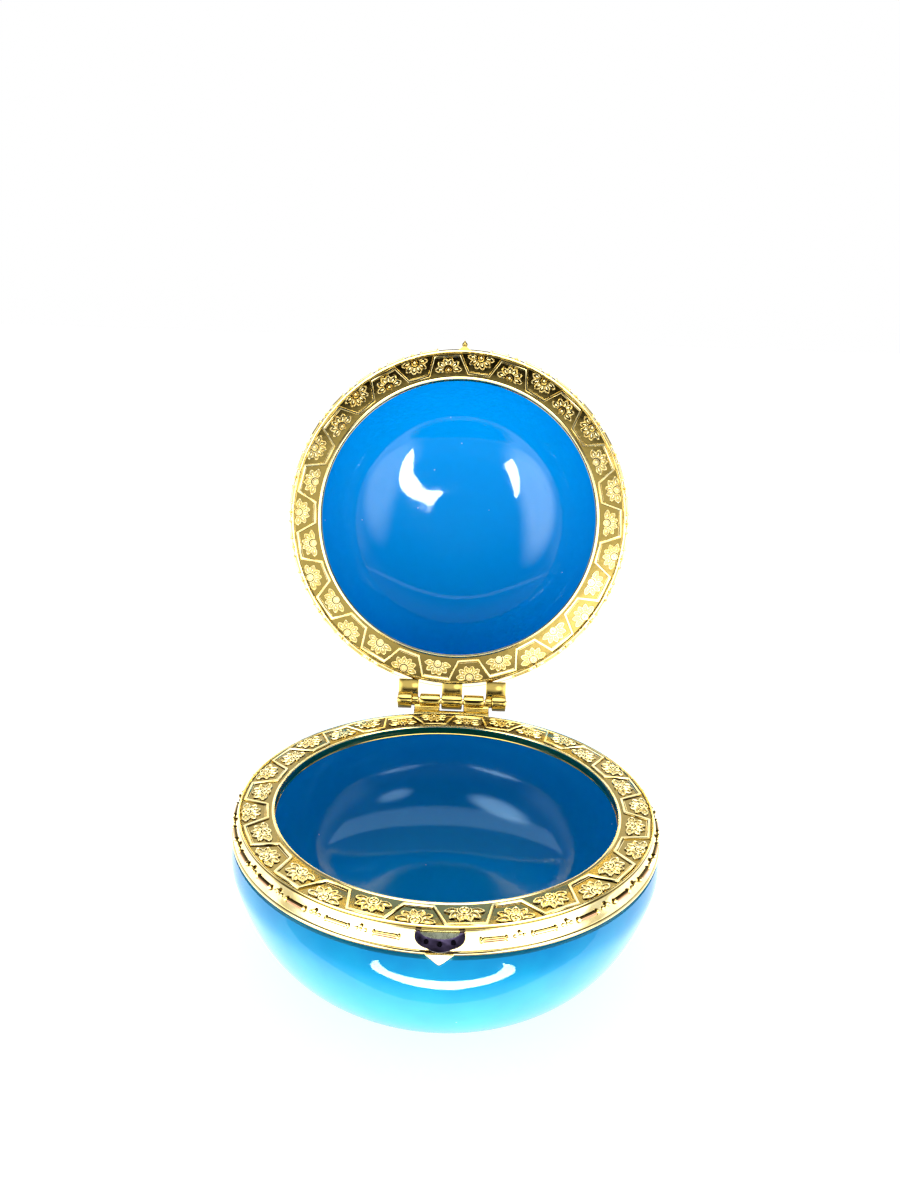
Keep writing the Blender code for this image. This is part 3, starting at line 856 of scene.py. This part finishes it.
# bright and deep colour, polished and dull roughness, depth of the grain in mm and grains per mm
metals = {
    "castGilt": ((1.0, 0.87, 0.46, 1), (0.95, 0.75, 0.31, 1), 0.07, 0.14, 0.009, 4.0),
    "pinBrass": ((0.86, 0.66, 0.32, 1), (0.74, 0.54, 0.24, 1), 0.22, 0.34, 0.010, 6.0),
    # the next three are the clasp's: painted reflections on gold and painted shade in its dimples
    "claspDarkReflection": ((0.045, 0.035, 0.070, 1), (0.022, 0.017, 0.034, 1), 0.26, 0.40, 0.012, 6.0),
    "pitShade": ((0.004, 0.003, 0.006, 1), (0.002, 0.002, 0.003, 1), 0.50, 0.60, 0.006, 6.0),
    "ledgeGreyReflection": ((0.34, 0.37, 0.27, 1), (0.24, 0.26, 0.19, 1), 0.20, 0.30, 0.010, 6.0),
}
giltTones = {
    "copper": (0.62, 0.30, 0.17, 1), "copperShare": 0.85,
    "recessShade": (0.46, 0.34, 0.09, 1), "recessShadeOver": (0.05, 0.60),      # painted shade on the sunk ground, and the marks it comes in over
    # painted shade at the feet of the raised work, and the marks it comes in over
    "foot": (0.055, 0.035, 0.008, 1), "footShadeOver": (0.60, 0.95),
}


def toneGilt(tree, colour):
    # coppery bars, and painted shade on the sunk ground, at the feet of the raised work and near the
    # hinge
    hollow = maths(tree, "ADD", readValue(tree, "hollow"), readValue(tree, "hingeShade"))
    copper = maths(tree, "MULTIPLY", readValue(tree, "copper"), giltTones["copperShare"])
    colour = blend(tree, copper, colour, giltTones["copper"])
    colour = blend(tree, fade(tree, hollow, *giltTones["recessShadeOver"]), colour, giltTones["recessShade"])
    return blend(tree, fade(tree, hollow, *giltTones["footShadeOver"]), colour, giltTones["foot"])


def makeMetal(name):
    bright, deep, polished, dull, grain, perMm = metals[name]
    made, tree, surface = newFinish(name, Metallic=1.0)
    cast = useGroup(tree, castGrain, Bright=bright, Deep=deep, Polished=polished, Dull=dull,
                    Grains_per_mm=perMm)
    colour = toneGilt(tree, cast["Colour"]) if name == "castGilt" else cast["Colour"]
    coverWith(tree, surface, colour, cast["Roughness"], cast["Height"], grain)
    return made


glazeLook = {
    "outsideCloud": 0.10, "insideCloud": 0.06, "relief": 0.018,
    "pinhole": (0.8, 0.9, 1.0, 1), "pinholeShare": 0.5,
    "bareFrom": (-23.38, -23.45), "bareDull": 0.5,      # heights over which the glaze gives way
}
baseGlazeLook = {
    # outside: the darker top is painted shade under the band, and the paler foot is painted light from
    # the table below
    "outsideTop": (0.008, 0.20, 0.56, 1), "outsideFoot": (0.014, 0.62, 0.80, 1),
    "insideTop": (0.0, 0.28, 0.76, 1), "insideFoot": (0.0, 0.46, 1.0, 1),
    "bare": (0.80, 0.80, 0.77, 1),      # unglazed foot ring
    "shine": (0.45, 0.75, 1.0, 1),      # what it mirrors takes a little of the blue
    "insideDull": 0.05,                 # how much less polished the inside is
}
lidGlazeLook = {
    "outsideTop": (0.035, 0.36, 0.84, 1), "outsideFoot": (0.03, 0.50, 0.92, 1),
    "insideTop": (0.0, 0.31, 0.80, 1), "insideFoot": (0.0, 0.375, 0.92, 1),
    "bare": (0.03, 0.50, 0.92, 1),
    "shine": (0.75, 0.90, 1.0, 1), "insideDull": 0.0,
}


def makeGlaze(name, look):
    made, tree, surface = newFinish(name, IOR=1.5, Specular_Tint=look["shine"])
    outside, inside = [useGroup(tree, glazeFlow, Top=look[side + "Top"], Foot=look[side + "Foot"],
                                Cloud=glazeLook[side + "Cloud"]) for side in ("outside", "inside")]
    within = readValue(tree, "insideWall")
    colour = blend(tree, within, outside["Colour"], inside["Colour"])
    specks = maths(tree, "MULTIPLY", outside["Pinholes"], glazeLook["pinholeShare"])
    colour = blend(tree, specks, colour, glazeLook["pinhole"])
    parts = addNode(tree, "SeparateXYZ", {"Vector": readValue(tree, "benchSpot", "Vector")})
    foot = fade(tree, parts.outputs["Z"], *glazeLook["bareFrom"])
    colour = blend(tree, foot, colour, look["bare"])
    rough = maths(tree, "MULTIPLY_ADD", foot, glazeLook["bareDull"], outside["Roughness"])
    rough = maths(tree, "MULTIPLY_ADD", within, look["insideDull"], rough)
    coverWith(tree, surface, colour, rough, outside["Height"], glazeLook["relief"])
    return made


# ---- making the box
gilt, pinBrass, claspDarkReflection, pitShade, ledgeGreyReflection = [makeMetal(name) for name in metals]
baseGlaze = makeGlaze("baseGlaze", baseGlazeLook)
lidGlaze = makeGlaze("lidGlaze", lidGlazeLook)
print("finishes mixed")

base = makeBowl("glazed_base", baseBowl)
finishPiece(base, basePlace, "base", baseGlaze, ["base_bowl"], sharp=mouth["sharp"])
lid = makeBowl("glazed_lid", lidBowl)
finishPiece(lid, lidPlace, "lid", lidGlaze, ["lid_bowl"], sharp=mouth["sharp"])
print("bowls turned and glazed")

baseRim = makeRim("gilt_base_rim", baseRimLook, makeBaseHinge() + [makeDrop()])
finishPiece(baseRim, basePlace, "base", gilt, ["base_rim"])
lidRim = makeRim("gilt_lid_rim", lidRimLook, makeLidHinge() + makePeak())
finishPiece(lidRim, lidPlace, "lid", gilt, ["lid_rim"])
print("rims cast")

pin = makePin()
finishPiece(pin, basePlace, "base", pinBrass, ["hinge_pin"])
thumbPiece = makeClasp()
finishPiece(thumbPiece, basePlace, "base", None, ["clasp_tab"])
print("pin and clasp fitted")


# ---- stage, lamps and camera
stage = {
    "floorSize": 6.0, "floorDepth": 0.00005, "floorLight": 0.80, "floorRough": 0.7,
    "floorPale": (0.90, 0.90, 0.90, 1), "floorPalest": (0.93, 0.93, 0.93, 1),
    "tableFront": -0.0365, "tableDepth": 0.0002, "tableGlow": 1.9,
    "tableShade": 0.35, "footShade": (0.015, 0.042),     # dimmer close to the middle of the foot
    "cameraTurn": 0.71, "cameraHeight": 17.42, "cameraRoll": 1.91,      # degrees
    "lookAt": (-0.00057, 0, 0.0575), "distance": 0.1413, "lens": 27.94,
}
# how bright the room is where it is mirrored, with the heights between which each level comes in
room = {
    "around": 0.85, "sky": 0.20, "skyFrom": (0.34, 0.52),
    "low": 0.22, "ahead": 0.12, "aheadFrom": (-0.25, 0.0), "dark": 0.02, "darkFrom": (0.28, 0.48),
    "forward": (-0.25, -0.60),          # and how far to the front ahead and dark come in
    # the same for the light that brings out the glaze's own colour
    "softAhead": 0.12, "softBelow": 2.35, "belowFrom": (0.45, -0.05),
    "softAbove": 0.50, "aboveFrom": (0.75, 0.95),
}
# A round lamp stands upright in front of the box, and its image lies on the table below the clasp.
ringGlow = 40.0
ringPlaces = {
    "standing": Matrix.Translation((0, -0.161, 0.005)),
    "lying": Matrix.Translation((0.001, -0.0815, 0.0003)) @ rotate(-90, "X"),
}
# its lit stretches: start and end in degrees, steps, place and what mirrors it, then the radius of
# its outer edge and its width, in mm, at a share t of the way along
rings = {
    "ringRight": (-18, 87.5, 40, "standing", [lid],
                  lambda t: 115.5 - 4 * t ** 4 + 16 * t ** 8,
                  lambda t: 33 * math.sin(2.9 * t ** 0.62) ** 1.1),
    "ringLeft": (182, 124, 24, "standing", [lid],
                 lambda t: 104 + 15 * t,
                 lambda t: 4 + 30 * math.sin(math.pi * t)),
    "ringOnTable": (4, 168, 24, "lying", [base],
                    lambda t: 29.5 + 3.2 * (2 * t - 1) ** 4 + 9.6 * math.sin(math.pi * t),
                    lambda t: 0.2 + 0.2 * (2 * t - 1) ** 4 + 9.6 * math.sin(math.pi * t)
                    - 1.5 * math.sin(math.pi * t) ** 4),
}
# bowed sheets at the height of a ceiling, in mm
ceiling = {
    "height": 300, "reach": 420, "steps": 24,
    "near": (-158, 0.00118),            # where the near edge lies at the middle, and how it bows
}
# the far edge of each, its strength and what mirrors it
ceilingSheets = {
    "ceilingStrip": ((-15, 0.00165), 1.7, [base]),
    "ceilingLine": ((-134, 0.00118), 1.0, [lid]),
}
# soft cards: width and height, place, tilt and turn in degrees, strength, and what mirrors them;
# a card without a place hangs at hungAt from the middle of the foot and faces it
hungAt = 0.5
cardFade = (0.52, 0.22)                 # a card dims over these distances from its middle
metalwork = [baseRim, lidRim, pin, thumbPiece]
cards = {
    "softRight": ((0.50, 0.70), (0.34, -0.34, 0.0), 90, 45, 3.4, [lid]),
    "softLeft": ((0.50, 0.76), (-0.34, -0.34, 0.06), 90, -45, 4.9, [lid]),
    "lobeRight": ((0.46, 0.19), None, 41, -52, 6.5, [base]),
    "lobeLeft": ((0.26, 0.12), None, 51, 46, 4.0, [base]),
    "arcRight": ((0.46, 0.08), None, 79, -36, 8.0, [base]),
    "arcLeft": ((0.42, 0.08), None, 80, 38, 7.0, [base]),
    "rimAhead": ((0.50, 0.19), (0, -0.26, 0.145), 90, 0, 1.6, [lidRim, pin]),
    "rimRight": ((0.50, 0.70), (0.34, -0.32, 0.10), 90, 45, 5.2, metalwork),
    "rimLeft": ((0.50, 0.70), (-0.34, -0.32, 0.10), 90, -45, 5.2, metalwork),
    "rimAbove": ((0.60, 0.40), (0, -0.06, 0.36), 180, 0, 6.0, metalwork),
    "hotSpot": ((0.10, 0.09), (0.062, -0.25, 0.118), 90, 0, 2.8, [lidRim]),
    "flangeBehind": ((1.00, 0.30), (0, 0.25, 0.165), 90, 0, 1.30, [baseRim]),
    "flangeAhead": ((0.10, 0.06), (0, 0.028, 0.066), 90, 0, 0.60, [baseRim]),
    "bandCard": ((0.50, 0.09), (0, -0.13, 0.004), 90, 0, 3.4, [baseRim, thumbPiece]),
}


def makePlane(name, size, place, turn=(0, 0, 0)):
    clearSelection()
    bpy.ops.mesh.primitive_plane_add(size=1, location=place, rotation=turn)
    plane = bpy.context.object
    plane.name = name
    plane.scale = (*size, 1)
    settle(plane)
    return plane


def tableLight():
    # dim close under the box, which shades the table round its foot
    made, tree, surface = newFinish("tableGlow", Base_Color=(0, 0, 0, 1))
    away = addNode(tree, "VectorMath", {0: readPlace(tree, "Object")}, operation="LENGTH")
    shine = fade(tree, away.outputs["Value"], *stage["footShade"])
    level = blend(tree, shine, stage["tableShade"], stage["tableGlow"])
    feed(tree, level, surface["Emission Strength"])
    return made


def makeFloor():
    floor = makePlane("floor", (stage["floorSize"],) * 2, (0, 0, -stage["floorDepth"]))
    made, tree, surface = newFinish("paleFloor", Roughness=stage["floorRough"],
                                    Emission_Strength=stage["floorLight"])
    tone = fade(tree, noise(tree, readPlace(tree, "Object"), 12, 4), 0.3, 0.7)
    feed(tree, blend(tree, tone, stage["floorPale"], stage["floorPalest"]), surface["Base Color"])
    floor.data.materials.append(made)
    # the lit table top is a sheet of its own, which ends just in front of the box
    depth = stage["floorSize"] / 2
    table = makePlane("tableGlow", (stage["floorSize"], depth),
                      (0, stage["tableFront"] + depth / 2, -stage["tableDepth"]))
    table.data.materials.append(tableLight())
    table.visible_camera = floor.visible_glossy = floor.visible_diffuse = False
    for sheet in (floor, table):
        sheet.visible_shadow = False


def makeSurroundings():
    # what the polished pieces mirror: pale all round, dim above, dark ahead over the camera
    world = bpy.data.worlds.new("paleStudio")
    bpy.context.scene.world = world
    world.use_nodes = True
    tree = world.node_tree
    background = tree.nodes["Background"].inputs
    toward = addNode(tree, "SeparateXYZ", {"Vector": readPlace(tree, "Generated")}).outputs
    back, up = toward["Y"], toward["Z"]
    level = blend(tree, fade(tree, up, *room["skyFrom"]), room["around"], room["sky"])
    ahead = blend(tree, fade(tree, up, *room["aheadFrom"]), room["low"], room["ahead"])
    ahead = blend(tree, fade(tree, up, *room["darkFrom"]), ahead, room["dark"])
    level = blend(tree, fade(tree, back, *room["forward"]), level, ahead)
    soft = blend(tree, fade(tree, up, *room["belowFrom"]), room["softAhead"], room["softBelow"])
    soft = blend(tree, fade(tree, up, *room["aboveFrom"]), soft, room["softAbove"])
    ray = addNode(tree, "LightPath").outputs
    level = blend(tree, ray["Is Diffuse Ray"], level, soft)
    feed(tree, blend(tree, ray["Is Camera Ray"], level, 1.0), background["Strength"])
    feed(tree, (1, 1, 1, 1), background["Color"])


def glow(name, strength, soft):
    # light that lets whatever is behind it through, so that lamps do not hide one another
    made, tree = newFinish(name)[:2]
    tree.nodes.remove(tree.nodes["Principled BSDF"])
    if soft:                            # dims away towards the card's edges
        away = addNode(tree, "VectorMath", {0: readPlace(tree, "UV"), 1: (0.5, 0.5, 0)},
                       operation="DISTANCE")
        strength = maths(tree, "MULTIPLY", fade(tree, away.outputs["Value"], *cardFade), strength)
    lit = addNode(tree, "Emission", {"Strength": strength}).outputs[0]
    clear = addNode(tree, "BsdfTransparent").outputs[0]
    both = addNode(tree, "AddShader", {0: lit, 1: clear})
    feed(tree, both.outputs[0], tree.nodes["Material Output"].inputs["Surface"])
    return made


def hangLamp(lamp, strength, onto, soft=False):
    # only the pieces in onto mirror it
    lamp.data.materials.append(glow(lamp.name, strength, soft))
    lamp.visible_camera = lamp.visible_shadow = lamp.visible_diffuse = False
    mirroredBy = bpy.data.collections.new(lamp.name + "On")
    for piece in onto:
        mirroredBy.objects.link(piece)
    lamp.light_linking.receiver_collection = mirroredBy


def makeLamp(name, edges, place, strength, onto):
    # a lit sheet between two lines in mm
    lamp = joinAll([drawLine(name, [Vector(point) for point in line]) for line in edges], name)
    openEdit(lamp)
    bpy.ops.mesh.bridge_edge_loops()
    bpy.ops.object.mode_set(mode="OBJECT")
    lamp.matrix_world = place @ toMetres
    settle(lamp)
    hangLamp(lamp, strength, onto)


def hangLamps():
    for name, (start, end, steps, place, onto, outer, width) in rings.items():
        lines = [], []
        for t in (k / steps for k in range(steps + 1)):
            turn = math.radians(start + (end - start) * t)
            for line, radius in zip(lines, (outer(t), outer(t) - width(t))):
                line.append((radius * math.cos(turn), 0, radius * math.sin(turn)))
        makeLamp(name, lines, ringPlaces[place], ringGlow, onto)
    pitch = 2 * ceiling["reach"] / ceiling["steps"]
    along = [-ceiling["reach"] + pitch * k for k in range(ceiling["steps"] + 1)]
    for name, (far, strength, onto) in ceilingSheets.items():
        lines = [[(x, middle + bow * x * x, ceiling["height"]) for x in along]
                 for middle, bow in (ceiling["near"], far)]
        makeLamp(name, lines, Matrix(), strength, onto)
    for name, (size, place, tilt, turn, strength, onto) in cards.items():
        aim = rotate(turn) @ rotate(tilt, "X")
        card = makePlane(name, size, place or aim @ Vector((0, 0, hungAt)), aim.to_euler())
        hangLamp(card, strength, onto, soft=True)


def makeCamera():
    lens = bpy.data.cameras.new("boxCamera")
    lens.sensor_fit = "VERTICAL"
    lens.sensor_height = 36
    lens.lens = stage["lens"]
    lens.clip_start = 0.005
    camera = bpy.data.objects.new("boxCamera", lens)
    bpy.context.scene.collection.objects.link(camera)
    camera.matrix_world = (Matrix.Translation(stage["lookAt"]) @ rotate(stage["cameraTurn"])
                           @ rotate(90 - stage["cameraHeight"], "X") @ rotate(stage["cameraRoll"])
                           @ Matrix.Translation((0, 0, stage["distance"])))
    bpy.context.scene.camera = camera


makeFloor()
makeSurroundings()
hangLamps()
makeCamera()
bpy.context.scene.view_settings.view_transform = "Standard"
print("stage lit")
